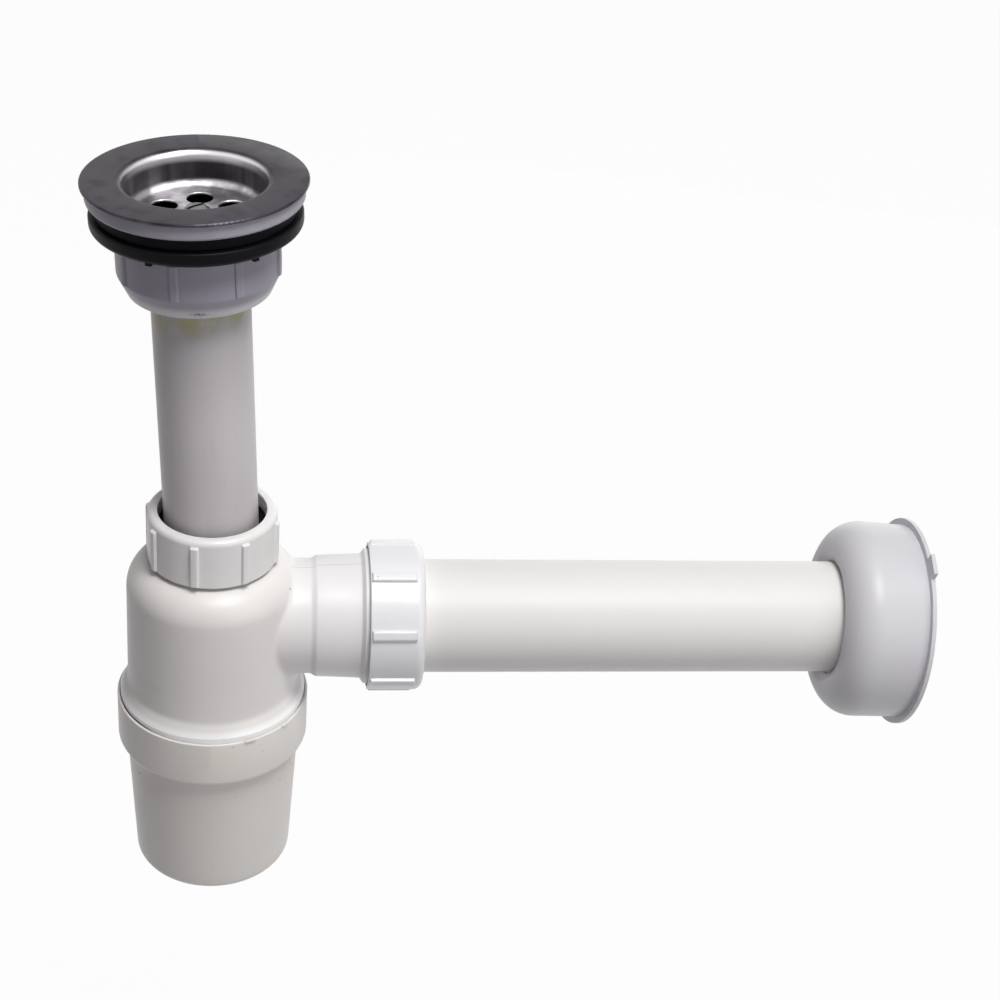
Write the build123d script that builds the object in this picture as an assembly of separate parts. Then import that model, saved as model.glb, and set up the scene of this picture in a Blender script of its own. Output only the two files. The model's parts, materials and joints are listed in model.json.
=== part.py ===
from build123d import *
import os

os.makedirs("parts", exist_ok=True)

# Bottle trap for a washbasin, with its basin waste, outlet pipe and wall cover, in millimetres.
# The waste and its tail pipe stand on +Z, and the origin is the middle of the plane in which the
# basin is clamped between the two seals. The outlet runs towards +X and falls on its way to the wall.
# Threads are smooth cores with play between them.

# Clearances
touch = 0.05  # between faces that are pressed together and stay together
seat = 0.2  # between faces of two moving pieces that meet at rest
slide_fit = 0.06  # radial, between a pipe and the seal round it
thread_play = 0.25  # radial, between a thread and its nut
moulding_play = 0.5  # radial, between the strainer's recess and the waste body

# Roundings that many pieces share
fine_rounding = 0.4
soft_rounding = 0.8

# Strainer plate, pressed from sheet
strainer_diameter = 70.6
strainer_sheet = 0.8
recess_diameter = 44.4
recess_depth = 12.0
recess_mouth_rounding = 1.6
recess_floor_rounding = 3.0
drain_hole_diameter = 8.4
drain_hole_circle = 24.4
drain_hole_count = 6
drain_hole_phase = 27.0
drain_hole_rounding = 0.5

# Screw and its brass insert
screw_diameter = 6.0
screw_length = 17.0
screw_head_diameter = 10.0
screw_head_height = 2.6
screw_head_edge = 0.65  # height of the head's straight edge
screw_crown_diameter = 5.5
screw_crown_rounding = 2.0
screw_slot_width = 1.3
screw_slot_depth = 1.1
screw_slot_angle = 35.0
insert_diameter = 9.0
insert_length = 7.0

# Seals that clamp the basin
seal_bore_play = 0.4  # radial, between the seals and the recess that passes through them
upper_seal_diameter = 68.0
upper_seal_thickness = 5.3
upper_seal_rounding = 1.2
lower_seal_diameter = 63.0
lower_seal_thickness = 4.2
lower_seal_rounding = 0.6

# Waste body
waste_flange_diameter = 66.6
waste_flange_thickness = 5.0
waste_flange_rounding = 2.2
waste_mouth_depth = 4.0
waste_bore_diameter = 36.0
waste_barrel_wall = 5.4
waste_thread_length = 13.6
funnel_height = 6.0
hub_diameter = 13.5
hub_length = 9.5
spoke_count = 3
spoke_width = 2.4
spoke_root = 1.0  # how far a spoke goes into the barrel's wall
nub_count = 6
nub_phase = 4.8
nub_size = 1.9
nub_inset = 1.8  # from the flange's rim to a nub's middle
nub_height = 0.5

# Waste nut and tail pipe
tail_diameter = 32.0
tail_wall = 1.8
tail_length = 208.0
tail_flange_width = 5.2
tail_flange_thickness = 2.5
tail_gasket_thickness = 2.2
pipe_play = 0.35  # radial, between a pipe and the rigid hole that it passes through
waste_nut_wall = 2.35
waste_nut_narrowing = 3.2  # radial, down the taper
waste_nut_taper = 7.0
waste_nut_rounding = 3.0
waste_nut_rim_rounding = 1.0
waste_nut_pocket = 1.0  # height of the slope between the thread and the pipe's flange
waste_nut_lip = 3.0
waste_nut_gap = 1.6

# Grip ribs of the three nuts
rib_count = 8
rib_width = 2.8
outlet_rib_width = 3.6
rib_rounding = 0.6
waste_rib_height = 0.6
waste_rib_phase = 29.7
waste_rib_inset = 0.8  # below the nut's top
waste_rib_overrun = 1.0  # down over the taper
inlet_rib_height = 1.1
inlet_rib_phase = 30.6
outlet_rib_height = 1.3
outlet_rib_phase = 25.0

# Where the tail pipe's axis crosses the bottle's axis, and how far the outlet falls
crossing_drop = 128.2  # below the clamped plane
crossing_height = 30.4  # above the outlet's axis
fall = 2.14

# Trap body
neck_clearance = 1.2  # radial, round the tail pipe
neck_wall = 2.8
neck_length = 11.2
cone_seat_depth = 4.4
cone_seat_width = 2.0
neck_seat_play = 0.3  # radial, between the neck's mouth and its seal
neck_seat_gap = 0.5  # below the point of the seal
shoulder_rise = 4.9  # from the top of the branch up to the shoulder
shoulder_overlap = 2.1  # how far the shoulder's rounding runs in past the neck's outside
body_diameter = 58.8
body_taper = 0.45  # radial, down to the body's foot
body_wall = 2.3
bead_step = 2.75  # radial, from the body's foot to the bead
bead_thickness = 3.5
bead_drop = 9.2  # from the underside of the branch down to the bead's top
bead_flare = 4.4  # height of the sloping foot above the bead
skirt_step = 1.1  # radial, from the body to the skirt
skirt_length = 12.4

# Cup
cup_collar_step = 1.1  # radial, from the bead to the collar
cup_collar_height = 18.2
cup_collar_rounding = 1.8
cup_rim_overlap = 1.6
cup_rim_rounding = 0.3
cup_shoulder_step = 3.0  # radial, from the collar in to the cup's wall
cup_taper = 2.8  # radial, down to the foot
cup_length = 54.0
cup_foot_rounding = 4.0
cup_wall = 2.2
cup_seal_thickness = 1.8
cup_seal_width = 2.6

# Branch and outlet
outlet_diameter = 40.0
outlet_wall = 1.8
outlet_length = 208.0
branch_bore_step = 3.0  # radial, from the pipe in to the branch's bore
branch_wall = 3.3
branch_blend = 3.0
branch_reach = 6.4  # from the bottle's wall to the step
branch_step_length = 1.6
branch_step_rounding = 2.0
socket_floor_depth = 2.4  # past the step
socket_length = 16.8  # from the step to the thread
socket_wall = 1.0
socket_swell = 1.2
socket_shoulder = 1.2  # length of the slope up to the thread
socket_shoulder_rounding = 1.0
branch_thread_wall = 3.45
branch_thread_length = 13.4

# Union nuts of the trap
inlet_nut_gap = 1.0  # from the shoulder up to the nut
inlet_nut_wall = 1.85
inlet_nut_overlap = 1.85  # how far its lip reaches in past its thread
inlet_nut_height = 18.4
inlet_nut_lip = 3.8
inlet_nut_rounding = 2.0
outlet_nut_wall = 2.05
outlet_nut_gap = 1.4  # from the branch's shoulder to the nut
outlet_nut_length = 19.2
outlet_nut_lip = 3.3
outlet_nut_rounding = 3.0
nut_mouth_rounding = 0.5
nut_entry_step = 0.85  # radial, from the thread out to the entry
nut_entry_length = 1.6
slip_ring_thickness = 1.1

# Rosette
rosette_reach = 28.7
rosette_lip = 1.5  # how far the opening lies behind the dome's front
rosette_lip_width = 3.0
rosette_play = 0.6  # radial, round the pipe
rosette_drop = 0.4  # how far its opening hangs below the pipe's axis
rosette_tilt = 3.0  # its rim hangs back towards the trap at the bottom
rosette_width = 15.7  # radial, from the pipe out to the dome
rosette_taper = 0.6  # radial, from the dome back to its neck
rosette_rounding = 11.2
rosette_rim_width = 2.4
rosette_rim_thickness = 1.5
rosette_wall = 1.6
rosette_overhang = 2.9  # past the pipe's end
rosette_lug_angle = -154.5
rosette_lug_width = 8.0
rosette_lug_height = 3.2


def turned(*corners):
    """Solid of revolution about Z. A corner is (radius, height) or (radius, height, rounding)."""
    face = make_face(Polyline(*[(corner[0], corner[1]) for corner in corners], close=True))
    for corner in corners:
        if len(corner) == 3:
            vertex = face.vertices().sort_by_distance(Vector(corner[0], corner[1]))[0]
            face = fillet(vertex, corner[2])
    return revolve(Plane.XZ * face, Axis.Z)


def ring(inner_diameter, outer_diameter, bottom, top, rounding=0.0):
    """Flat ring, with its two outer edges rounded where a rounding is given."""
    inner = inner_diameter / 2
    outer = outer_diameter / 2
    if rounding:
        return turned((inner, bottom), (outer, bottom, rounding), (outer, top, rounding), (inner, top))
    return turned((inner, bottom), (outer, bottom), (outer, top), (inner, top))


def grip_ribs(nut_diameter, width, height, bottom, top, phase):
    """Bars with rounded outer edges, spread evenly round a nut."""
    root = nut_diameter / 2 - 2 * rib_rounding
    crest = nut_diameter / 2 + height
    bar = Pos((root + crest) / 2, 0, (bottom + top) / 2) * Box(crest - root, width, top - bottom)
    bar = fillet(bar.faces().sort_by(Axis.X)[-1].edges(), rib_rounding)
    return [Rot(0, 0, phase + turn * 360 / rib_count) * bar for turn in range(rib_count)]


def fused(body, additions):
    """One solid from a body and the pieces that are moulded on it."""
    for addition in additions:
        body += addition
    return body


# How far a cut runs past the face that it opens
overrun = 1.0

# Diameters that follow from the pipes, the recess and the walls
waste_mouth_diameter = recess_diameter + 2 * (strainer_sheet + moulding_play)
waste_thread_diameter = waste_bore_diameter + 2 * waste_barrel_wall
tail_flange_diameter = tail_diameter + 2 * tail_flange_width
waste_nut_diameter = waste_thread_diameter + 2 * (thread_play + waste_nut_wall)
waste_nut_rim_diameter = waste_nut_diameter - 2 * waste_nut_narrowing
neck_bore_diameter = tail_diameter + 2 * neck_clearance
neck_thread_diameter = neck_bore_diameter + 2 * neck_wall
inlet_nut_diameter = neck_thread_diameter + 2 * (thread_play + inlet_nut_wall)
inlet_nut_opening = neck_thread_diameter + 2 * (thread_play - inlet_nut_overlap)
body_foot_diameter = body_diameter + 2 * body_taper
bead_diameter = body_foot_diameter + 2 * bead_step
skirt_diameter = body_diameter + 2 * skirt_step
cup_collar_diameter = bead_diameter + 2 * cup_collar_step
cup_shoulder_diameter = cup_collar_diameter - 2 * cup_shoulder_step
cup_foot_diameter = cup_shoulder_diameter - 2 * cup_taper
branch_bore_diameter = outlet_diameter - 2 * branch_bore_step
branch_diameter = branch_bore_diameter + 2 * branch_wall
shoulder_rounding = (body_diameter - neck_thread_diameter) / 2 + shoulder_overlap
socket_bore_diameter = outlet_diameter + 2 * pipe_play
socket_diameter = socket_bore_diameter + 2 * socket_wall
branch_thread_diameter = socket_bore_diameter + 2 * branch_thread_wall
outlet_nut_diameter = branch_thread_diameter + 2 * (thread_play + outlet_nut_wall)
rosette_diameter = outlet_diameter + 2 * rosette_width
rosette_neck_diameter = rosette_diameter - 2 * rosette_taper
rosette_rim_diameter = rosette_neck_diameter + 2 * rosette_rim_width

# Heights of the waste's stack, from the clamped plane
flange_underside = upper_seal_thickness + touch
flange_top = flange_underside + strainer_sheet
floor_top = flange_top - recess_depth
floor_underside = floor_top - strainer_sheet
seal_bore_diameter = recess_diameter + 2 * (strainer_sheet + recess_mouth_rounding + seal_bore_play)
hub_top = floor_underside - touch
lower_seal_top = -touch
lower_seal_bottom = lower_seal_top - lower_seal_thickness
waste_flange_top = lower_seal_bottom - touch
waste_flange_bottom = waste_flange_top - waste_flange_thickness
barrel_end = waste_flange_bottom - waste_thread_length
gasket_top = barrel_end - seat
tail_top = gasket_top - tail_gasket_thickness - touch
tail_flange_bottom = tail_top - tail_flange_thickness
waste_nut_shoulder = tail_flange_bottom - seat
waste_nut_bottom = waste_nut_shoulder - waste_nut_lip
waste_nut_top = waste_flange_bottom - waste_nut_gap

# Heights on the bottle's axis, from the outlet's axis
shoulder_height = branch_diameter / 2 + shoulder_rise
neck_top = shoulder_height + neck_length
inlet_nut_bottom = shoulder_height + inlet_nut_gap
inlet_nut_top = inlet_nut_bottom + inlet_nut_height
inlet_nut_shoulder = inlet_nut_top - inlet_nut_lip
bead_top = -branch_diameter / 2 - bead_drop
bead_bottom = bead_top - bead_thickness
skirt_end = bead_bottom - skirt_length
cup_seal_top = skirt_end - touch
cup_seal_bottom = cup_seal_top - cup_seal_thickness
cup_ledge = cup_seal_bottom - touch
cup_rim = bead_top - bead_thickness + cup_rim_overlap
cup_collar_bottom = cup_rim - cup_collar_height
cup_foot = cup_collar_bottom - cup_length

# Distances on the outlet's axis, from the bottle's axis
branch_step = body_diameter / 2 + branch_reach
socket_floor = branch_step + socket_floor_depth
branch_thread_start = branch_step + socket_length
branch_end = branch_thread_start + branch_thread_length
pipe_start = socket_floor + seat
pipe_end = pipe_start + outlet_length
outlet_nut_start = branch_thread_start + outlet_nut_gap
outlet_nut_end = outlet_nut_start + outlet_nut_length
outlet_nut_shoulder = outlet_nut_end - outlet_nut_lip
rosette_back = pipe_end + rosette_overhang
rosette_front = rosette_back - rosette_reach

# The bottle's axis leans by the fall where the tail pipe's axis crosses it
to_trap = Pos(0, 0, -crossing_drop) * Rot(0, fall, 0) * Pos(0, 0, -crossing_height)
to_outlet = to_trap * Rot(0, 90, 0)


def strainer_plate():
    """Pressed plate: flange, recess and a floor with six pressed holes round the screw's hole."""
    wall = recess_diameter / 2
    skin = wall + strainer_sheet
    plate = turned(
        (screw_diameter / 2 + touch, floor_underside),
        (skin, floor_underside, recess_floor_rounding + strainer_sheet),
        (skin, flange_underside, recess_mouth_rounding),
        (strainer_diameter / 2, flange_underside),
        (strainer_diameter / 2, flange_top, strainer_sheet / 2),
        (wall, flange_top, recess_mouth_rounding + strainer_sheet),
        (wall, floor_top, recess_floor_rounding),
        (screw_diameter / 2 + touch, floor_top),
    )
    hole = Pos(drain_hole_circle / 2, 0, floor_top) * Cylinder(drain_hole_diameter / 2, 4 * strainer_sheet)
    for turn in range(drain_hole_count):
        plate -= Rot(0, 0, drain_hole_phase + turn * 360 / drain_hole_count) * hole
    return fillet([edge for edge in plate.edges() if is_hole_rim(edge)], drain_hole_rounding)


def is_hole_rim(edge):
    """True for the upper edge of a drain hole."""
    if edge.geom_type != GeomType.CIRCLE:
        return False
    return abs(edge.radius - drain_hole_diameter / 2) < touch and abs(edge.center().Z - floor_top) < touch


def strainer_screw():
    """Domed, slotted head on a plain shank."""
    head = screw_head_diameter / 2
    head_base = floor_top + touch
    screw = turned(
        (0, head_base + screw_head_height),
        (screw_crown_diameter / 2, head_base + screw_head_height, screw_crown_rounding),
        (head, head_base + screw_head_edge),
        (head, head_base),
        (screw_diameter / 2, head_base),
        (screw_diameter / 2, head_base - screw_length),
        (0, head_base - screw_length),
    )
    slot = Pos(0, 0, head_base + screw_head_height) * Box(
        screw_head_diameter, screw_slot_width, 2 * screw_slot_depth
    )
    return screw - Rot(0, 0, screw_slot_angle) * slot


def waste_insert():
    """Brass bush in the hub, with the screw's bore."""
    return ring(screw_diameter + 2 * touch, insert_diameter, hub_top - insert_length, hub_top - touch)


def upper_seal():
    return ring(seal_bore_diameter, upper_seal_diameter, 0, upper_seal_thickness, upper_seal_rounding)


def lower_seal():
    return ring(
        seal_bore_diameter, lower_seal_diameter, lower_seal_bottom, lower_seal_top, lower_seal_rounding
    )


def waste_body():
    """Flange with nubs, funnel and threaded barrel, and a hub on spokes for the insert."""
    rim = waste_flange_diameter / 2
    mouth = waste_mouth_diameter / 2
    barrel = waste_thread_diameter / 2
    bore = waste_bore_diameter / 2
    mouth_bottom = waste_flange_top - waste_mouth_depth
    shell = turned(
        (mouth, waste_flange_top),
        (rim, waste_flange_top, soft_rounding),
        (rim, waste_flange_bottom, waste_flange_rounding),
        (barrel, waste_flange_bottom),
        (barrel, barrel_end, fine_rounding),
        (bore, barrel_end),
        (bore, mouth_bottom - funnel_height),
        (mouth, mouth_bottom),
    )
    hub = Pos(0, 0, hub_top - hub_length / 2) * Cylinder(hub_diameter / 2, hub_length)
    reach = bore + spoke_root
    spoke_top = mouth_bottom - funnel_height
    spoke_height = hub_top - hub_length - spoke_top
    spoke_middle = spoke_top + spoke_height / 2
    spoke = Pos(reach / 2, 0, spoke_middle) * Box(reach, spoke_width, abs(spoke_height))
    spokes = [Rot(0, 0, turn * 360 / spoke_count) * spoke for turn in range(spoke_count)]
    nub_radius = rim - nub_inset
    nub = Pos(nub_radius, 0, waste_flange_bottom) * Box(nub_size, nub_size, 2 * nub_height)
    nubs = [Rot(0, 0, nub_phase + turn * 360 / nub_count) * nub for turn in range(nub_count)]
    pocket = Pos(0, 0, hub_top - insert_length / 2) * Cylinder(
        insert_diameter / 2 + touch, insert_length + 2 * touch
    )
    shank = Pos(0, 0, hub_top - hub_length) * Cylinder(screw_diameter / 2 + touch, 2 * hub_length)
    return fused(shell, [hub] + spokes + nubs) - pocket - shank


def tail_gasket():
    inner = tail_diameter - 2 * tail_wall
    return ring(inner, tail_flange_diameter, gasket_top - tail_gasket_thickness, gasket_top)


def tail_pipe():
    """Pipe with a turned-out flange at its top."""
    bore = tail_diameter / 2 - tail_wall
    outside = tail_diameter / 2
    flange = tail_flange_diameter / 2
    foot = tail_top - tail_length
    return turned(
        (bore, tail_top),
        (flange, tail_top),
        (flange, tail_flange_bottom, fine_rounding),
        (outside, tail_flange_bottom),
        (outside, foot, fine_rounding),
        (bore, foot),
    )


def waste_nut():
    """Nut that narrows to the tail pipe below its thread."""
    grip = waste_nut_diameter / 2
    rim = waste_nut_rim_diameter / 2
    taper_top = waste_nut_bottom + waste_nut_taper
    blank = turned(
        (0, waste_nut_top),
        (grip, waste_nut_top, fine_rounding),
        (grip, taper_top, waste_nut_rounding),
        (rim, waste_nut_bottom, waste_nut_rim_rounding),
        (0, waste_nut_bottom),
    )
    ribs = grip_ribs(
        waste_nut_diameter, rib_width, waste_rib_height, taper_top - waste_rib_overrun,
        waste_nut_top - waste_rib_inset, waste_rib_phase,
    )
    thread = waste_thread_diameter / 2 + thread_play
    pocket = tail_flange_diameter / 2 + thread_play
    cavity = turned(
        (0, waste_nut_top + overrun),
        (thread, waste_nut_top + overrun),
        (thread, barrel_end - seat),
        (pocket, barrel_end - seat - waste_nut_pocket),
        (pocket, waste_nut_shoulder),
        (tail_diameter / 2 + pipe_play, waste_nut_shoulder),
        (tail_diameter / 2 + pipe_play, waste_nut_bottom - overrun),
        (0, waste_nut_bottom - overrun),
    )
    return fused(blank, ribs) - cavity


def slip_ring(opening_diameter, outer_diameter, nut_shoulder):
    """Flat friction ring between a nut's shoulder and the seal below it."""
    top = nut_shoulder - seat
    return ring(opening_diameter, outer_diameter, top - slip_ring_thickness, top)


def union_nut(grip, thread, opening, bottom, top, shoulder, ribs, rounding):
    """Nut with a rounded top rim and a wider entry. Ribs are (width, height, phase)."""
    rib_across, rib_height, rib_phase = ribs
    core = thread / 2 + thread_play
    entry = core + nut_entry_step
    blank = turned(
        (0, bottom),
        (grip / 2, bottom, fine_rounding),
        (grip / 2, top, rounding),
        (0, top),
    )
    bars = grip_ribs(grip, rib_across, rib_height, bottom + fine_rounding, top - rounding, rib_phase)
    cavity = turned(
        (0, bottom - overrun),
        (entry, bottom - overrun),
        (entry, bottom + nut_entry_length),
        (core, bottom + nut_entry_length + nut_entry_step),
        (core, shoulder),
        (opening / 2, shoulder),
        (opening / 2, top + overrun),
        (0, top + overrun),
    )
    nut = fused(blank, bars) - cavity
    mouth = nut.edges().filter_by(GeomType.CIRCLE).group_by(Axis.Z)[-1].sort_by(SortBy.RADIUS)[0]
    return fillet(mouth, nut_mouth_rounding)


def trap_body():
    """Bottle body, neck and side branch in one moulding. The body's seam lies opposite the branch."""
    top = body_diameter / 2
    foot = body_foot_diameter / 2
    bead = bead_diameter / 2
    neck = neck_thread_diameter / 2
    outside = Rot(0, 0, 180) * turned(
        (0, shoulder_height),
        (top, shoulder_height, shoulder_rounding),
        (foot, bead_top + bead_flare, bead_flare),
        (bead, bead_top, soft_rounding),
        (bead, bead_bottom, fine_rounding),
        (skirt_diameter / 2, bead_bottom),
        (skirt_diameter / 2, skirt_end, fine_rounding),
        (0, skirt_end),
    )
    outside += turned((0, 0), (neck, 0), (neck, neck_top, fine_rounding), (0, neck_top))
    swell = socket_diameter / 2 + socket_swell / 2
    branch = Rot(0, 90, 0) * turned(
        (0, 0),
        (branch_diameter / 2, 0),
        (branch_diameter / 2, branch_step - branch_step_length, branch_step_rounding),
        (socket_diameter / 2, branch_step, branch_step_rounding),
        (swell, branch_thread_start - socket_shoulder, socket_shoulder_rounding),
        (branch_thread_diameter / 2, branch_thread_start, fine_rounding),
        (branch_thread_diameter / 2, branch_end, fine_rounding),
        (0, branch_end),
    )
    solid = outside + branch
    joint = [edge for edge in solid.edges() if is_branch_joint(edge)]
    solid = fillet(joint, branch_blend)
    return solid - bottle_hollow() - branch_hollow()


def is_branch_joint(edge):
    """True for the curved edges where the branch leaves the bottle's wall."""
    return edge.geom_type == GeomType.BSPLINE and edge.bounding_box().max.X < branch_step


def bottle_hollow():
    """Room inside the bottle, with the neck's bore and its cone seat."""
    inner = body_diameter / 2 - body_wall
    mouth = neck_bore_diameter / 2
    return turned(
        (0, neck_top + overrun),
        (mouth + cone_seat_width + neck_seat_play, neck_top + overrun),
        (mouth + cone_seat_width + neck_seat_play, neck_top),
        (mouth, neck_top - cone_seat_depth - neck_seat_gap),
        (mouth, shoulder_height - body_wall),
        (inner, shoulder_height - body_wall, shoulder_rounding - body_wall),
        (inner, skirt_end - overrun),
        (0, skirt_end - overrun),
    )


def branch_hollow():
    """Water way, pipe socket and cone seat of the branch."""
    socket = socket_bore_diameter / 2
    return Rot(0, 90, 0) * turned(
        (0, body_diameter / 4),
        (branch_bore_diameter / 2, body_diameter / 4),
        (branch_bore_diameter / 2, socket_floor),
        (socket, socket_floor),
        (socket, branch_end - cone_seat_depth),
        (socket + cone_seat_width, branch_end),
        (socket + cone_seat_width, branch_end + overrun),
        (0, branch_end + overrun),
    )


def inlet_seal():
    """Cone seal whose outside follows the neck and whose bore follows the upright tail pipe."""
    bore = tail_diameter / 2 + slide_fit
    point = neck_bore_diameter / 2 - slide_fit
    crest = point + cone_seat_width
    rim_top = inlet_nut_shoulder - seat - slip_ring_thickness - touch
    wedge = turned(
        (0, neck_top - cone_seat_depth - neck_seat_gap),
        (point, neck_top - cone_seat_depth - neck_seat_gap),
        (crest, neck_top),
        (crest, rim_top),
        (0, rim_top),
    )
    return to_trap * wedge - Pos(0, 0, -crossing_drop) * Cylinder(bore, 4 * inlet_nut_height)


def outlet_seal():
    bore = outlet_diameter / 2 + slide_fit
    point = socket_bore_diameter / 2 - slide_fit
    crest = point + cone_seat_width
    rim_top = outlet_nut_shoulder - seat - slip_ring_thickness - touch
    return to_outlet * turned(
        (bore, branch_end - cone_seat_depth),
        (point, branch_end - cone_seat_depth),
        (crest, branch_end),
        (crest, rim_top),
        (bore, rim_top),
    )


def inlet_nut():
    return to_trap * union_nut(
        inlet_nut_diameter, neck_thread_diameter, inlet_nut_opening, inlet_nut_bottom, inlet_nut_top,
        inlet_nut_shoulder, (rib_width, inlet_rib_height, inlet_rib_phase), inlet_nut_rounding,
    )


def outlet_nut():
    return to_outlet * union_nut(
        outlet_nut_diameter, branch_thread_diameter, socket_bore_diameter, outlet_nut_start,
        outlet_nut_end, outlet_nut_shoulder, (outlet_rib_width, outlet_rib_height, outlet_rib_phase),
        outlet_nut_rounding,
    )


def cup():
    """Cup with a wide threaded collar, a ledge for the seal and a rounded foot."""
    collar = cup_collar_diameter / 2
    shoulder = cup_shoulder_diameter / 2
    foot = cup_foot_diameter / 2
    thread = skirt_diameter / 2 + thread_play
    counterbore = bead_diameter / 2 + thread_play
    ledge = thread - cup_seal_width
    return turned(
        (counterbore, cup_rim),
        (collar, cup_rim, cup_rim_rounding),
        (collar, cup_collar_bottom, cup_collar_rounding),
        (shoulder, cup_collar_bottom, soft_rounding),
        (foot, cup_foot, cup_foot_rounding),
        (0, cup_foot),
        (0, cup_foot + cup_wall),
        (foot - cup_wall, cup_foot + cup_wall, cup_foot_rounding - cup_wall / 2),
        (ledge, cup_ledge),
        (thread, cup_ledge),
        (thread, bead_bottom - seat),
        (counterbore, bead_bottom - seat),
    )


def cup_seal():
    outer = skirt_diameter + 2 * thread_play - 2 * touch
    return ring(outer - 2 * cup_seal_width, outer, cup_seal_bottom, cup_seal_top)


def outlet_pipe():
    return ring(outlet_diameter - 2 * outlet_wall, outlet_diameter, pipe_start, pipe_end)


def rosette():
    """Domed wall cover with a thin rim and a small lug."""
    hole = outlet_diameter / 2 + rosette_play
    dome = rosette_diameter / 2
    neck = rosette_neck_diameter / 2
    rim = rosette_rim_diameter / 2
    rim_front = rosette_back - rosette_rim_thickness
    lip = hole + rosette_lip_width
    opening = rosette_front + rosette_lip
    shell = turned(
        (hole, opening),
        (lip, rosette_front, rosette_lip),
        (dome, rosette_front, rosette_rounding),
        (neck, rim_front),
        (rim, rim_front),
        (rim, rosette_back),
        (neck - rosette_wall, rosette_back),
        (dome - rosette_wall, rosette_front + rosette_wall, rosette_rounding - rosette_wall),
        (lip, rosette_front + rosette_wall),
        (hole, opening + rosette_wall),
    )
    lug = Pos(rim, 0, rosette_back - rosette_rim_thickness / 2) * Box(
        2 * rosette_lug_height, rosette_lug_width, rosette_rim_thickness
    )
    cover = shell + Rot(0, 0, rosette_lug_angle) * lug
    return Pos(rosette_drop, 0, opening) * Rot(0, rosette_tilt, 0) * Pos(0, 0, -opening) * cover


pieces = {
    "strainer_plate": strainer_plate(),
    "strainer_screw": strainer_screw(),
    "waste_insert": waste_insert(),
    "upper_seal": upper_seal(),
    "lower_seal": lower_seal(),
    "waste_body": waste_body(),
    "waste_nut": waste_nut(),
    "tail_gasket": tail_gasket(),
    "tail_pipe": tail_pipe(),
    "inlet_nut": inlet_nut(),
    "inlet_slip_ring": to_trap * slip_ring(inlet_nut_opening, neck_thread_diameter, inlet_nut_shoulder),
    "inlet_seal": inlet_seal(),
    "trap_body": to_trap * trap_body(),
    "cup_seal": to_trap * cup_seal(),
    "cup": to_trap * cup(),
    "outlet_nut": outlet_nut(),
    "outlet_slip_ring": to_outlet * slip_ring(
        socket_bore_diameter, branch_thread_diameter, outlet_nut_shoulder
    ),
    "outlet_seal": outlet_seal(),
    "outlet_pipe": to_outlet * outlet_pipe(),
    "rosette": to_outlet * rosette(),
}

for name, piece in pieces.items():
    export_step(piece, f"parts/{name}.step")
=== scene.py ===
"""Looks of a washbasin's bottle trap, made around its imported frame. Lengths are in metres."""

import json
import math

import bmesh
import bpy
from mathutils import Matrix, Vector


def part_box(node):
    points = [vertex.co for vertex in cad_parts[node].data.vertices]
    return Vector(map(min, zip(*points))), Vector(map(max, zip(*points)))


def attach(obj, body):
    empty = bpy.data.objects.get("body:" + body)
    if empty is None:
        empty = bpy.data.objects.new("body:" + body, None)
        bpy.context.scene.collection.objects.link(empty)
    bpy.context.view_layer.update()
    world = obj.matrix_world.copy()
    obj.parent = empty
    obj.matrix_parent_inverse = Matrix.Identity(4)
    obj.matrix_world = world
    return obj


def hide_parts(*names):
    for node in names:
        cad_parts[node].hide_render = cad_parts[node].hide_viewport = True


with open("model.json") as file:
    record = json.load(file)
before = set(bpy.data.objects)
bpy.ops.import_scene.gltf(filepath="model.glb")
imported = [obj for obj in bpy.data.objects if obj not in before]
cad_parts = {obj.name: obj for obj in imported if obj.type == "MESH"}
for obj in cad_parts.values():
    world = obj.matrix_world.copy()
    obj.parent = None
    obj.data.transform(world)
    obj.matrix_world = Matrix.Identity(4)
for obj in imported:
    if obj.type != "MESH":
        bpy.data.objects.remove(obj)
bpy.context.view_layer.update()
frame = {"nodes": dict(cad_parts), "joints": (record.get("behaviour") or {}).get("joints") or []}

bl_info = {
    "name": "Bottle trap",
    "version": (1, 0, 0),
    "blender": (4, 5, 0),
    "location": "3D View > Sidebar > Bottle trap",
    "description": "Finishes a washbasin's bottle trap around its fixed frame",
    "category": "Object",
}

MM = 0.001
MERGE_DISTANCE = 2e-6
SLIVER = 1e-7

# Heights on the bottle's axis, from the branch's axis up
BEAD_TOP = -29.5 * MM
BEAD_FOOT = -33.4 * MM
CUP_RIM = -31.4 * MM

# Flash tabs on the cup's collar: degrees round the cup, and width in millimetres
COLLAR_RADIUS = 33.7 * MM
FLASH_TABS = ((-41.2, 2.8), (-66.5, 4.2))
FLASH_DEPTH = 0.9 * MM
FLASH_HEIGHT = 0.8 * MM
FLASH_ROUNDING = 0.22 * MM

# Thread grooves: radius, bottom and top in millimetres on the thread's own axis
WASTE_THREAD = (23.4, -22.2, -12.0)
NECK_THREAD = (20.0, 27.6, 35.2)
SKIRT_THREAD = (30.5, -44.2, -34.4)
BRANCH_THREAD = (23.8, 54.0, 65.2)
CUP_THREAD = (30.75, -46.2, -34.6)

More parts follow.
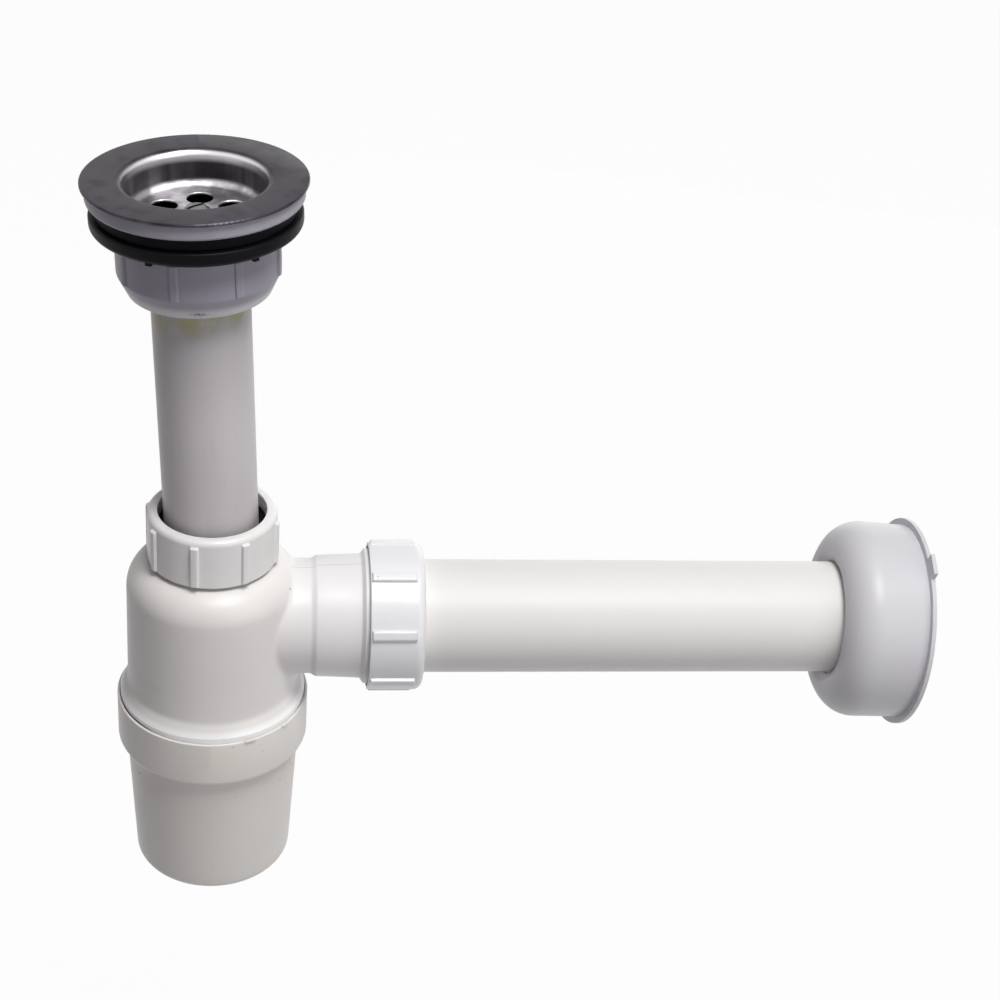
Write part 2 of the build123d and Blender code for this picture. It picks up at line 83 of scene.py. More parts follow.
# Union nuts, in millimetres on each nut's own axis. An outline's corners are
# (radius, height[, rounding]), the grip is a diameter, ribs run from bottom to top, and a thread
# is (radius, bottom, top).
WASTE_NUT = {
    "outline": (
        (23.65, -10.9), (26.0, -10.9, 0.6), (26.0, -24.05, 3.0), (22.8, -31.05, 1.0),
        (16.35, -31.05, 0.4), (16.35, -28.05), (21.45, -28.05), (21.45, -24.1), (23.65, -23.1),
    ),
    "grip": 52.0, "ribs": (-25.2, -11.6), "thread": (23.65, -23.0, -11.4),
}
INLET_NUT = {
    "outline": (
        (21.1, 26.2), (22.1, 26.2, 0.4), (22.1, 44.6, 2.0), (18.4, 44.6, 0.5), (18.4, 40.8),
        (20.25, 40.8), (20.25, 28.65), (21.1, 27.8),
    ),
    "grip": 44.2, "ribs": (26.6, 42.6), "thread": (20.25, 28.7, 39.9),
}
OUTLET_NUT = {
    "outline": (
        (24.9, 54.0), (26.1, 54.0, 0.4), (26.1, 73.2, 3.0), (20.35, 73.2, 0.5), (20.35, 69.9),
        (24.05, 69.9), (24.05, 56.45), (24.9, 55.6),
    ),
    "grip": 52.2, "ribs": (54.4, 70.2), "thread": (24.05, 56.5, 69.0),
}

# Colours of dirt and wear, and of painted highlights and shadows
SPECK = (0.10, 0.08, 0.07)
PIPE_SPECK = (0.12, 0.10, 0.09)
OUTLET_SPECK = (0.12, 0.10, 0.08)
HANDLING_DIRT = (0.40, 0.36, 0.30)
CUP_STAIN = (0.78, 0.66, 0.40)
# painted highlight on the rounded edge of the body's bead
BEAD_HIGHLIGHT = (0.98, 0.98, 0.975)
# painted shadow in the gap between the bead and the cup's rim
SLIT_SHADOW = (0.05, 0.045, 0.05)
PARTING_GREY = (0.35, 0.32, 0.32)
NUT_SCUFF = (0.35, 0.33, 0.36)
NUT_DARK_PATCH = (0.10, 0.09, 0.12)
TAIL_LINE = (0.40, 0.38, 0.40)
# grime and painted shadow at the pipe's top, under the waste nut and flange
TAIL_TOP_SHADE_AND_GRIME = (0.33, 0.315, 0.33)
TAIL_RUB = (0.45, 0.42, 0.42)
OUTLET_SCUFF = (0.5, 0.45, 0.40)
SEAL_DUST = (0.30, 0.28, 0.30)
RUBBER_DUST = (0.03, 0.03, 0.04)

# Depths of the bumps
FINE_PITS = 0.00002
SOFT_PITS = 0.00003
RUBBER_PITS = 0.00004
BRUSHED_LINES = 0.00001
DRAWN_LINES = 0.000012

# The stage. Each lamp has a place, a size and the name of its power.
SHADE_TINT = (1.0, 0.90, 1.0, 1.0)  # room light, for the rays that don't show the background
SEEN_WHITE = 0.97  # white share of the floor for the rays that do
WHITE = (1, 1, 1, 1)
FLOOR_REACH = 6.0
LAMP_TARGET = (0.09, 0.0, -0.13)
LAMPS = (
    ("key_lamp", (0.256, -0.332, 0.745), 0.42, "key_power"),
    ("top_lamp", (0.15, 0.12, 0.85), 0.8, "top_power"),
    ("fill_lamp", (0.80, -0.90, 0.10), 0.9, "fill_power"),
    ("back_lamp", (0.45, 1.0, -0.12), 0.8, "back_power"),
)

joints = {joint["name"]: joint for joint in frame["joints"]}


def axes_at(origin, along, side):
    """Placement whose Z runs along a direction and whose Y is the side given."""
    x = side.cross(along).normalized()
    placed = Matrix((x, side.normalized(), along.normalized())).transposed().to_4x4()
    placed.translation = origin
    return placed


bottle_up = Vector(joints["trap_swivel"]["axis"])
outlet_way = Vector(joints["pipe_turn"]["axis"])
branch_mouth = Vector(joints["pipe_turn"]["pos_m"])
neck_point = Vector(joints["trap_swivel"]["pos_m"])
bottle_centre = branch_mouth - outlet_way * (branch_mouth - neck_point).dot(outlet_way)
sideways = Vector((0, 1, 0))
on_waste = Matrix.Identity(4)
on_bottle = axes_at(bottle_centre, bottle_up, sideways)
on_outlet = axes_at(bottle_centre, outlet_way, sideways)


# Node trees as expressions


class Value:
    """An output socket. Sums with it add Math nodes to its tree."""

    def __init__(self, tree, socket):
        self.tree = tree
        self.socket = socket

    def __add__(self, other):
        return self.tree.sum("ADD", self, other)

    def __sub__(self, other):
        return self.tree.sum("SUBTRACT", self, other)

    def __rsub__(self, other):
        return self.tree.sum("SUBTRACT", other, self)

    def __mul__(self, other):
        return self.tree.sum("MULTIPLY", self, other)

    def __truediv__(self, other):
        return self.tree.sum("DIVIDE", self, other)

    def __lt__(self, other):
        return self.tree.sum("LESS_THAN", self, other)

    def __gt__(self, other):
        return self.tree.sum("GREATER_THAN", self, other)

    __radd__ = __add__
    __rmul__ = __mul__


class Tree:
    """A node tree whose nodes are added by calls."""

    def __init__(self, made):
        self.made = made

    def node(self, kind, settings=None, inputs=None, output=0):
        """One node: its settings are set first, then the values or links of its sockets."""
        added = self.made.nodes.new(kind)
        for name, setting in (settings or {}).items():
            setattr(added, name, setting)
        for name, value in (inputs or {}).items():
            self.feed(added.inputs[name], value)
        return Value(self, added.outputs[output]) if added.outputs else added

    def feed(self, socket, value):
        if isinstance(value, Value):
            self.made.links.new(value.socket, socket)
        else:
            socket.default_value = value

    def sum(self, operation, first, second=0.0):
        return self.node("ShaderNodeMath", {"operation": operation}, {0: first, 1: second})

    def vector(self, operation, first, second=(0, 0, 0), output=0):
        return self.node("ShaderNodeVectorMath", {"operation": operation}, {0: first, 1: second}, output)

    def ease(self, value, start, end):
        """0 at the start, 1 at the end and smooth between them."""
        inputs = {"Value": value, "From Min": start, "From Max": end}
        return self.node("ShaderNodeMapRange", {"interpolation_type": "SMOOTHSTEP"}, inputs)

    def apart(self, vector):
        """The three parts of a vector."""
        split = self.made.nodes.new("ShaderNodeSeparateXYZ")
        self.made.links.new(vector.socket, split.inputs[0])
        return [Value(self, out) for out in split.outputs]


class Finish(Tree):
    """A material that is painted over a surface in Object coordinates."""

    def __init__(self, name, **shader):
        self.material = bpy.data.materials.new(name)
        self.material.use_nodes = True
        super().__init__(self.material.node_tree)
        self.shader = self.made.nodes["Principled BSDF"]
        for socket, value in shader.items():
            self.shader.inputs[socket.replace("_", " ")].default_value = value
        self.place = self.node("ShaderNodeTexCoord", output=3)

    def at(self, centre=(0, 0, 0), turn=(0, 0, 0), scale=(1, 1, 1)):
        """Object coordinates measured from a centre, in metres, turned and stretched."""
        moved = self.vector("SUBTRACT", self.place, tuple(centre))
        inputs = {"Vector": moved, "Rotation": tuple(turn), "Scale": tuple(scale)}
        return self.node("ShaderNodeMapping", {"vector_type": "POINT"}, inputs)

    def noise(self, size, detail=2.0, where=None, seed=0.0):
        """Cloudy pattern from 0 to 1 whose blobs are about the size given."""
        inputs = {"Vector": where or self.place, "W": seed, "Scale": 1 / size, "Detail": detail}
        return self.node("ShaderNodeTexNoise", {"noise_dimensions": "4D"}, inputs)

    def specks(self, spacing, radius, share, seed):
        """1 in small spots, one in a share of cells of the spacing given."""
        moved = self.vector("ADD", self.place, (seed, seed * 0.7, seed * 0.3))
        settings = {"feature": "F1", "voronoi_dimensions": "3D"}
        inputs = {"Vector": moved, "Scale": 1 / spacing}
        away = self.node("ShaderNodeTexVoronoi", settings, inputs, "Distance")
        cell = self.node("ShaderNodeTexVoronoi", settings, inputs, "Color")
        chosen, size, _ = self.apart(cell)
        spot = 1 - self.ease(away * spacing, radius * 0.4, radius)
        return spot * (chosen < share) * self.ease(size, 0.0, 0.8)

    def blend(self, factor, first, second, kind="MIX"):
        settings = {"data_type": "RGBA", "blend_type": kind, "clamp_factor": True}
        return self.node("ShaderNodeMix", settings, {0: factor, 6: first, 7: second}, 2)

    def shades(self, factor, rgb, low, high):
        """A colour whose brightness varies between two shares of it."""
        return self.blend(factor, colour_of(rgb, low), colour_of(rgb, high))

    def patch(self, centre, reach, inner):
        """1 inside an ellipsoid and 0 outside it. Its fall starts at a share of its reach."""
        away = self.at(centre, scale=tuple(1 / part for part in reach))
        return 1 - self.ease(self.vector("LENGTH", away, output=1), inner, 1.0)

    def paint(self, colour, roughness=None, bump=None, depth=0.0):
        self.feed(self.shader.inputs["Base Color"], colour)
        if roughness is not None:
            self.feed(self.shader.inputs["Roughness"], roughness)
        if bump is not None:
            inputs = {"Strength": 1.0, "Distance": depth, "Height": bump}
            self.feed(self.shader.inputs["Normal"], self.node("ShaderNodeBump", None, inputs))
        return self.material


def colour_of(rgb, gain=1.0):
    return tuple(min(1.0, part * gain) for part in rgb) + (1.0,)


# Sizes and colours that a user would change


def length(name, description, millimetres):
    return bpy.props.FloatProperty(
        name=name, description=description, default=millimetres * MM, unit="LENGTH", precision=4
    )


def turn(name, description, degrees):
    return bpy.props.FloatProperty(
        name=name, description=description, default=math.radians(degrees), subtype="ANGLE"
    )


def colour(name, description, rgb):
    return bpy.props.FloatVectorProperty(
        name=name, description=description, default=rgb, subtype="COLOR", min=0, max=1
    )


class TrapColours(bpy.types.PropertyGroup):
    """Base colours of the finishes"""

    nut: colour("Outlet nut", "Cool white of the nut on the branch", (0.79, 0.79, 0.805))
    # painted shade: this nut's white is darkened to grey for the flange's shadow on it
    waste_nut: colour("Waste nut", "Grey white of the nut under the basin", (0.305, 0.283, 0.342))
    body: colour("Body", "Slightly warm white of the bottle", (0.785, 0.762, 0.738))
    # painted light: the branch gets a whiter, cooler colour for the brighter light on it
    branch: colour("Branch", "Cleaner white of the body's side branch", (0.80, 0.79, 0.783))
    cup: colour("Cup", "Warmer white of the cup", (0.77, 0.74, 0.70))
    inlet_nut: colour("Inlet nut", "Warm white of the nut on the neck", (0.80, 0.785, 0.775))
    tail: colour("Tail pipe", "Grey white of the upright pipe", (0.60, 0.575, 0.585))
    outlet: colour("Outlet pipe", "Warm ivory of the outlet pipe", (0.77, 0.757, 0.737))
    cover: colour("Wall cover", "Bluish white of the cover", (0.61, 0.605, 0.625))
    seal: colour("Upper seal", "Pale seal under the strainer", (0.36, 0.35, 0.40))
    rubber: colour("Rubber", "Black seals", (0.0018, 0.0014, 0.0026))
    # painted reflections: these steels are darkened for dark reflections, and bright steel stands for
    # bright ones on the floor and mouth
    steel: colour("Steel", "Brushed stainless steel of the recess wall", (0.045, 0.040, 0.045))
    dark_reflecting_steel: colour("Dull steel", "Worn brushed steel of the flange", (0.040, 0.034, 0.044))
    bright_steel: colour("Bright steel", "Polished floor of the recess", (0.62, 0.60, 0.62))
    brass: colour("Brass", "The screw's bush", (0.72, 0.56, 0.28))
    stain: colour("Stain", "Yellowish dirt on the tail pipe", (0.36, 0.34, 0.15))


class TrapSizes(bpy.types.PropertyGroup):
    """Sizes of what repeats on the trap"""

    rib_count: bpy.props.IntProperty(name="Grip ribs", description="Ribs round each nut", default=8, min=3)
    rib_width: length("Rib width", "Width of a grip rib", 2.8)
    outlet_rib_width: length("Outlet nut rib width", "Width of a rib on the outlet nut", 3.6)
    waste_rib_height: length("Waste nut rib height", "How far its ribs stand out", 0.6)
    inlet_rib_height: length("Inlet nut rib height", "How far its ribs stand out", 1.1)
    outlet_rib_height: length("Outlet nut rib height", "How far its ribs stand out", 1.3)
    waste_rib_turn: turn("Waste nut turn", "Where its ribs are at rest", 29.7)
    inlet_rib_turn: turn("Inlet nut turn", "Where its ribs are at rest", 30.6)
    outlet_rib_turn: turn("Outlet nut turn", "Where its ribs are at rest", 25.0)
    thread_pitch: length("Thread pitch", "Rise of a thread in one turn", 3.0)
    thread_depth: length("Thread depth", "Depth of a thread's groove", 0.9)


class TrapStage(bpy.types.PropertyGroup):
    """Camera, floor and lamps"""

    lens: bpy.props.FloatProperty(
        name="Lens", description="Focal length", default=72.149, subtype="DISTANCE_CAMERA"
    )
    camera_place: bpy.props.FloatVectorProperty(
        name="Camera", description="Where the camera stands",
        default=(0.02708, -0.58, 0.25236), subtype="XYZ",
    )
    camera_turn: bpy.props.FloatVectorProperty(
        name="Camera turn", description="How the camera is turned",
        default=[math.radians(angle) for angle in (57.9225, -2.0562, -5.7403)], subtype="EULER",
    )
    floor_drop: length("Floor drop", "From the cup's foot down to the floor", 180.0)
    key_power: bpy.props.FloatProperty(
        name="Key lamp", description="Power of the lamp above", default=7.6, unit="POWER"
    )
    top_power: bpy.props.FloatProperty(
        name="Top lamp", description="Power of the lamp overhead", default=1.2, unit="POWER"
    )
    fill_power: bpy.props.FloatProperty(
        name="Fill lamp", description="Power of the lamp at the right", default=3.0, unit="POWER"
    )
    back_power: bpy.props.FloatProperty(
        name="Back lamp", description="Power of the lamp behind", default=1.6, unit="POWER"
    )
    world: bpy.props.FloatProperty(name="Room light", description="Light from all round", default=0.11)


# Meshes


def fillet_points(before, corner, after, radius, steps):
    """Points of an arc that rounds a corner between its two neighbours."""
    corner = Vector(corner)
    first = (Vector(before) - corner).normalized()
    second = (Vector(after) - corner).normalized()
    half = first.angle(second) / 2
    reach = radius / math.tan(half)
    centre = corner + (first + second).normalized() * radius / math.sin(half)
    start = corner + first * reach - centre
    end = corner + second * reach - centre
    sweep = start.angle_signed(end)
    return [centre + Matrix.Rotation(-sweep * step / steps, 2) @ start for step in range(steps + 1)]


def outline(corners, spacing, steps=8):
    """Closed outline of (radius, height[, rounding]) corners in millimetres, divided evenly."""
    rounded = []
    for place, corner in enumerate(corners):
        before = corners[place - 1][:2]
        after = corners[(place + 1) % len(corners)][:2]
        if len(corner) == 3:
            rounded += fillet_points(before, corner[:2], after, corner[2], steps)
        else:
            rounded.append(Vector(corner[:2]))
    points = []
    for place, point in enumerate(rounded):
        after = rounded[(place + 1) % len(rounded)]
        parts = max(1, round((after - point).length / spacing))
        points += [point.lerp(after, part / parts) for part in range(parts)]
    return points


def turned_object(name, corners, segments=720, spacing=0.5):
    """Closed lathe shape about Z from corners in millimetres."""
    points = outline(corners, spacing)
    work = bmesh.new()
    rings = []
    for segment in range(segments):
        angle = 2 * math.pi * segment / segments
        way = Vector((math.cos(angle), math.sin(angle), 0))
        rings.append([work.verts.new((way * p.x + Vector((0, 0, p.y))) * MM) for p in points])
    count = len(points)
    for segment in range(segments):
        here = rings[segment]
        there = rings[(segment + 1) % segments]
        for place in range(count):
            after = (place + 1) % count
            work.faces.new((here[place], there[place], there[after], here[after]))
    bmesh.ops.remove_doubles(work, verts=work.verts, dist=SLIVER)
    bmesh.ops.recalc_face_normals(work, faces=work.faces)
    mesh = bpy.data.meshes.new(name)
    work.to_mesh(mesh)
    work.free()
    made = bpy.data.objects.new(name, mesh)
    bpy.context.scene.collection.objects.link(made)
    return made


def copied(node, name):
    """A merged copy of a node's mesh, without the normals that it carries."""
    mesh = frame["nodes"][node].data.copy()
    mesh.materials.clear()
    carried = mesh.attributes.get("custom_normal")
    if carried:
        mesh.attributes.remove(carried)
    work = bmesh.new()
    work.from_mesh(mesh)
    bmesh.ops.remove_doubles(work, verts=work.verts, dist=MERGE_DISTANCE)
    bmesh.ops.dissolve_degenerate(work, edges=work.edges, dist=SLIVER)
    work.to_mesh(mesh)
    work.free()
    made = bpy.data.objects.new(name, mesh)
    bpy.context.scene.collection.objects.link(made)
    return made


def with_tree(made, tree, inputs):
    """Runs a geometry tree on an object and keeps the result as its plain mesh."""
    modifier = made.modifiers.new(tree.name, "NODES")
    modifier.node_group = tree
    for item in tree.interface.items_tree:
        if item.item_type == "SOCKET" and item.in_out == "INPUT" and item.name in inputs:
            modifier[item.identifier] = inputs[item.name]
    bpy.context.view_layer.update()
    evaluated = made.evaluated_get(bpy.context.evaluated_depsgraph_get())
    mesh = bpy.data.meshes.new_from_object(evaluated)
    made.modifiers.remove(modifier)
    made.data = mesh


def finished(made, nodes, body, material, angle=32.0):
    """Shades a piece, gives it to its body and hides the nodes that it replaces."""
    mesh = made.data
    mesh.materials.clear()
    mesh.materials.append(material)
    for polygon in mesh.polygons:
        polygon.material_index = 0
    mesh.shade_smooth()
    mesh.set_sharp_from_angle(angle=math.radians(angle))
    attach(made, body)
    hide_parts(*nodes)


# Geometry trees


def geometry_tree(name, numbers):
    """A tree with a geometry, the numbers named and a material as its inputs."""
    tree = bpy.data.node_groups.new(name, "GeometryNodeTree")
    tree.interface.new_socket("Geometry", in_out="INPUT", socket_type="NodeSocketGeometry")
    for label in numbers:
        tree.interface.new_socket(label, in_out="INPUT", socket_type="NodeSocketFloat")
    tree.interface.new_socket("Material", in_out="INPUT", socket_type="NodeSocketMaterial")
    tree.interface.new_socket("Geometry", in_out="OUTPUT", socket_type="NodeSocketGeometry")
    made = Tree(tree)
    group = tree.nodes.new("NodeGroupInput")
    given = {out.name: Value(made, out) for out in group.outputs if out.name}
    return made, given


def end_tree(made, geometry, material):
    """Ends in plain geometry with its material."""
    realized = made.node("GeometryNodeRealizeInstances", None, {0: geometry})
    coated = made.node("GeometryNodeSetMaterial", None, {"Geometry": realized, "Material": material})
    made.node("NodeGroupOutput", None, {0: coated})
    return made.made


def between_ends(made, given, z, fade):
    """1 between the given bottom and top, and 0 past them."""
    rise = made.ease(z, given["Bottom"], given["Bottom"] + fade)
    return rise * (1 - made.ease(z, given["Top"] - fade, given["Top"]))


def pushed_out(made, given, x, y, radius, lift):
    """The geometry, moved away from Z by the lift."""
    way = made.node("ShaderNodeCombineXYZ", None, {0: x / radius, 1: y / radius})
    offset = made.node("ShaderNodeVectorMath", {"operation": "SCALE"}, {0: way, "Scale": lift})
    return made.node("GeometryNodeSetPosition", None, {"Geometry": given["Geometry"], "Offset": offset})


def rib_tree():
    """Raises rounded grip ribs on a nut whose axis is Z."""
    nose = 0.35 * MM
    wall_slack = 0.02 * MM
    squareness = 7.0
    numbers = ("Count", "Width", "Height", "Turn", "Grip radius", "Bottom", "Top")
    made, given = geometry_tree("grip_ribs", numbers)
    x, y, z = made.apart(made.node("GeometryNodeInputPosition"))
    radius = made.sum("SQRT", x * x + y * y)
    step = made.sum("DIVIDE", 2 * math.pi, given["Count"])
    angle = made.sum("ARCTAN2", y, x) - given["Turn"] + step * 0.5
    away = made.sum("ABSOLUTE", made.sum("FLOORED_MODULO", angle, step) - step * 0.5) * radius
    share = away * 2 / given["Width"]
    crown = made.sum("POWER", share, squareness)
    profile = made.sum("SQRT", made.sum("MAXIMUM", 1 - crown, 0.0))
    outside = radius > given["Grip radius"] - wall_slack
    lift = profile * between_ends(made, given, z, nose) * outside * given["Height"]
    return end_tree(made, pushed_out(made, given, x, y, radius, lift), given["Material"])


def thread_tree():
    """Cuts a right-handed helical groove into the inner wall at a radius."""
    fade = 0.6 * MM
    wall_slack = 0.03 * MM
    groove_foot, groove_top = 0.34, 0.16  # shares of the pitch
    made, given = geometry_tree("screw_thread", ("Pitch", "Depth", "Thread radius", "Bottom", "Top"))
    x, y, z = made.apart(made.node("GeometryNodeInputPosition"))
    radius = made.sum("SQRT", x * x + y * y)
    rise = z / given["Pitch"] - made.sum("ARCTAN2", y, x) / (2 * math.pi)
    phase = made.sum("ABSOLUTE", made.sum("FLOORED_MODULO", rise, 1.0) - 0.5)
    groove = made.ease(phase, groove_foot, groove_top)
    wall = made.sum("ABSOLUTE", radius - given["Thread radius"]) < wall_slack
    lift = groove * between_ends(made, given, z, fade) * wall * given["Depth"]
    return end_tree(made, pushed_out(made, given, x, y, radius, lift), given["Material"])


def groove_tree():
    """Cuts a round, right-handed helical groove about Z into a closed mesh."""
    made, given = geometry_tree("thread_groove", ("Pitch", "Groove", "Thread radius", "Bottom", "Turns"))
    spiral = made.node("GeometryNodeCurveSpiral", None, {
        "Resolution": 64, "Rotations": given["Turns"], "Start Radius": given["Thread radius"],
        "End Radius": given["Thread radius"], "Height": given["Pitch"] * given["Turns"],
        "Reverse": True,  # right-handed
    })
    circle = {"Resolution": 8, "Radius": given["Groove"]}
    profile = made.node("GeometryNodeCurvePrimitiveCircle", None, circle)
    tube = made.node(
        "GeometryNodeCurveToMesh", None, {"Curve": spiral, "Profile Curve": profile, "Fill Caps": True}
    )
    lift = made.node("ShaderNodeCombineXYZ", None, {2: given["Bottom"]})
    placed = made.node("GeometryNodeSetPosition", None, {"Geometry": tube, "Offset": lift})
    settings = {"operation": "DIFFERENCE", "solver": "MANIFOLD"}
    cut = made.node("GeometryNodeMeshBoolean", settings, {"Mesh 1": given["Geometry"], "Mesh 2": placed})
    return end_tree(made, cut, given["Material"])


# Finishes


def moulded(name, rgb, rough, centre, coat=0.15):
    """Moulded plastic: faint clouds, fine pitting, light handling dirt and a few dark specks."""
    finish = Finish(name, Specular_IOR_Level=0.4, IOR=1.49, Coat_Weight=coat, Coat_Roughness=0.22)
    where = finish.at(centre)
    clouds = finish.noise(0.022, 3.0, where)
    grime = finish.ease(finish.noise(0.012, 5.0, where, 3.0), 0.58, 0.80)
    tone = finish.shades(clouds, rgb, 0.965, 1.03)
    tone = finish.blend(grime * 0.10, tone, colour_of(HANDLING_DIRT))
    marks = finish.specks(0.006, 0.00040, 0.10, 1.3)
    tone = finish.blend(marks * 0.75, tone, colour_of(SPECK))
    fine = finish.noise(0.0016, 2.0, where, 5.0)
    roughness = rough - 0.05 + finish.noise(0.006, 3.0, where, 7.0) * 0.10 + grime * 0.12
    return finish.paint(tone, roughness, fine, FINE_PITS)


class TrapFinishes:
    """All materials, made once from the colours."""

    def __init__(self, colours):
        bottle = tuple(bottle_centre)
        self.flange_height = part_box("strainer_plate")[1].z
        self.nut = moulded("cool_white_nut", colours.nut, 0.34, bottle)
        self.inlet_nut = moulded("warm_white_nut", colours.inlet_nut, 0.32, bottle, coat=0.22)
        self.waste_nut = self.grey_nut(colours)
        self.body = self.bottle_white(colours, bottle)
        self.cup = self.cup_white(colours)
        self.tail = self.tail_white(colours)
        self.outlet = self.ivory(colours)
        cover_foot = tuple(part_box("rosette")[0])
        self.cover = moulded("bluish_cover_white", colours.cover, 0.42, cover_foot, coat=0.05)
        self.seal = self.pale_seal(colours)
        self.rubber = self.black_rubber(colours)
        self.black = self.black_moulding(colours)
        self.steel = self.brushed_steel(colours)
        self.screw_steel = self.turned_steel(colours)
        self.brass = self.turned_brass(colours)

    def grey_nut(self, colours):
        """Nut painted grey for the flange's shadow on it, lighter at its foot below that painted shade,
        with a dark patch at its rim.
        """
        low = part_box("waste_nut")[0]
        finish = Finish("grey_white_nut", Specular_IOR_Level=0.45, Coat_Weight=0.05)
        where = finish.at((0, 0, low.z))
        clouds = finish.noise(0.010, 4.0, where)
        tone = finish.shades(clouds, colours.waste_nut, 0.93, 1.05)
        z = finish.apart(where)[2]
        # Painted light: the foot below the flange's shadow is lightened back towards white
        foot = 1 - finish.ease(z, 0.0015, 0.0050)
        tone = finish.blend(foot * 0.7, tone, colour_of(colours.nut, 0.95))
        scuffs = finish.ease(finish.noise(0.004, 6.0, finish.at(scale=(1, 1, 0.35)), 2.0), 0.62, 0.75)
        tone = finish.blend(scuffs * 0.25, tone, colour_of(NUT_SCUFF))
        # A ragged dark patch near the nut's lower rim
        dark_patch = finish.patch((0.0005, -0.0238, low.z + 0.0021), (0.0042, 0.003, 0.0010), 0.3)
        ragged = finish.ease(finish.noise(0.0012, 4.0, where, 8.0), 0.35, 0.55)
        tone = finish.blend(dark_patch * ragged * 0.8, tone, colour_of(NUT_DARK_PATCH))
        fine = finish.noise(0.0014, 2.0, where, 5.0)
        return finish.paint(tone, 0.38 + clouds * 0.12, fine, SOFT_PITS)

    def bottle_white(self, colours, centre):
        """Body plastic: painted highlight on the bead, painted shadow in the slit at the cup's rim, a
        whiter branch painted for its brighter light, parting line and a few specks.
        """
        finish = Finish("bottle_white", Specular_IOR_Level=0.4, Coat_Weight=0.06, Coat_Roughness=0.25)
        where = finish.at(centre, (0, -on_bottle.to_euler().y, 0))
        x, y, z = finish.apart(where)
        clouds = finish.noise(0.022, 3.0, where)
        grime = finish.ease(finish.noise(0.012, 5.0, where, 3.0), 0.58, 0.80)
        # Painted light: the side branch is painted whiter where it is more brightly lit
        lit_branch = finish.ease(x, 0.020, 0.034)
        tone = finish.blend(lit_branch, colour_of(colours.body), colour_of(colours.branch))
        shade = finish.blend(clouds, (0.965, 0.965, 0.965, 1), (1.03, 1.03, 1.03, 1))
        tone = finish.blend(1.0, tone, shade, "MULTIPLY")
        tone = finish.blend(grime * 0.10, tone, colour_of(HANDLING_DIRT))
        marks = finish.specks(0.006, 0.00050, 0.15, 1.3)
        tone = finish.blend(marks * 0.75, tone, colour_of(SPECK))
        # Painted highlight: the bead's edge is painted near white where the lamps' highlight falls, and
        # made glossier
        bead = finish.ease(z, BEAD_FOOT, BEAD_FOOT + 0.0012)
        bead = bead * (1 - finish.ease(z, BEAD_TOP + 0.0002, BEAD_TOP + 0.0026))
        tone = finish.blend(bead, tone, colour_of(BEAD_HIGHLIGHT))
        # Painted shadow: the gap just above the cup's rim is darkened on the left side
        slit = 1 - finish.ease(z, CUP_RIM + 0.0003, CUP_RIM + 0.0008)
        slit = slit * (z > BEAD_FOOT) * (1 - finish.ease(x, -0.027, -0.017))
        tone = finish.blend(slit * 0.85, tone, colour_of(SLIT_SHADOW))
        parting = (finish.sum("ABSOLUTE", y) < 0.00016) * (z > 0.015) * (x > 0.027) * (x < 0.052)
        tone = finish.blend(parting * 0.45, tone, colour_of(PARTING_GREY))
        fine = finish.noise(0.0016, 2.0, where, 5.0)
        roughness = 0.36 + finish.noise(0.006, 3.0, where, 7.0) * 0.10 + grime * 0.10 - bead * 0.20
        return finish.paint(tone, roughness, fine, FINE_PITS)

    def cup_white(self, colours):
        """Cup plastic with a faint yellow stain on its collar and more specks."""
        finish = Finish("cup_white", Specular_IOR_Level=0.4, Coat_Weight=0.12, Coat_Roughness=0.28)
        low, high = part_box("cup")
        middle = (low + high) / 2
        where = finish.at((middle.x, middle.y, high.z))
        clouds = finish.noise(0.020, 3.0, where)
        tone = finish.shades(clouds, colours.cup, 0.96, 1.02)
        stain = finish.patch((middle.x + 0.002, low.y, high.z - 0.008), (0.014, 0.02, 0.007), 0.2)
        tone = finish.blend(stain * 0.12, tone, colour_of(CUP_STAIN))
        marks = finish.specks(0.005, 0.00055, 0.25, 4.1)
        tone = finish.blend(marks * 0.75, tone, colour_of(SPECK))
        fine = finish.noise(0.0016, 2.0, where, 5.0)
        roughness = 0.34 + finish.noise(0.006, 3.0, where, 7.0) * 0.1
        return finish.paint(tone, roughness, fine, FINE_PITS)

    def tail_white(self, colours):
        """Extruded pipe: faint lines along it, its top greyer with grime and painted shadow under the waste
        nut, and yellowish stains there.
        """
        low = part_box("waste_nut")[0]
        finish = Finish("tail_grey_white", Specular_IOR_Level=0.45, Coat_Weight=0.05)
        where = finish.at((0, 0, low.z))
        z = finish.apart(where)[2]
        clouds = finish.noise(0.018, 3.0, where)
        lines = finish.noise(0.0012, 2.0, finish.at(scale=(1, 1, 0.02)), 9.0)
        tone = finish.shades(clouds, colours.tail, 0.95, 1.04)
        tone = finish.blend(finish.ease(lines, 0.45, 0.75) * 0.06, tone, colour_of(TAIL_LINE))
        cloud = finish.ease(finish.noise(0.009, 3.0, finish.at(scale=(1, 1, 0.7)), 2.0), 0.42, 0.62)
        band = finish.ease(z, -0.015, -0.005)
        # Grime and a painted shadow of the flange and waste nut darken the pipe's top
        shaded_grimy_top = finish.ease(z, -0.050, -0.004)
        tone = finish.blend(shaded_grimy_top * 0.45, tone, colour_of(TAIL_TOP_SHADE_AND_GRIME))
        tone = finish.blend(cloud * band * 0.8, tone, colour_of(colours.stain))
        rub = finish.ease(finish.noise(0.005, 5.0, finish.at(scale=(1, 1, 0.15)), 4.0), 0.60, 0.75)
        tone = finish.blend(rub * 0.12, tone, colour_of(TAIL_RUB))
        marks = finish.specks(0.006, 0.00040, 0.10, 2.2)
        tone = finish.blend(marks * 0.7, tone, colour_of(PIPE_SPECK))
        return finish.paint(tone, 0.36 + clouds * 0.08, lines, FINE_PITS)

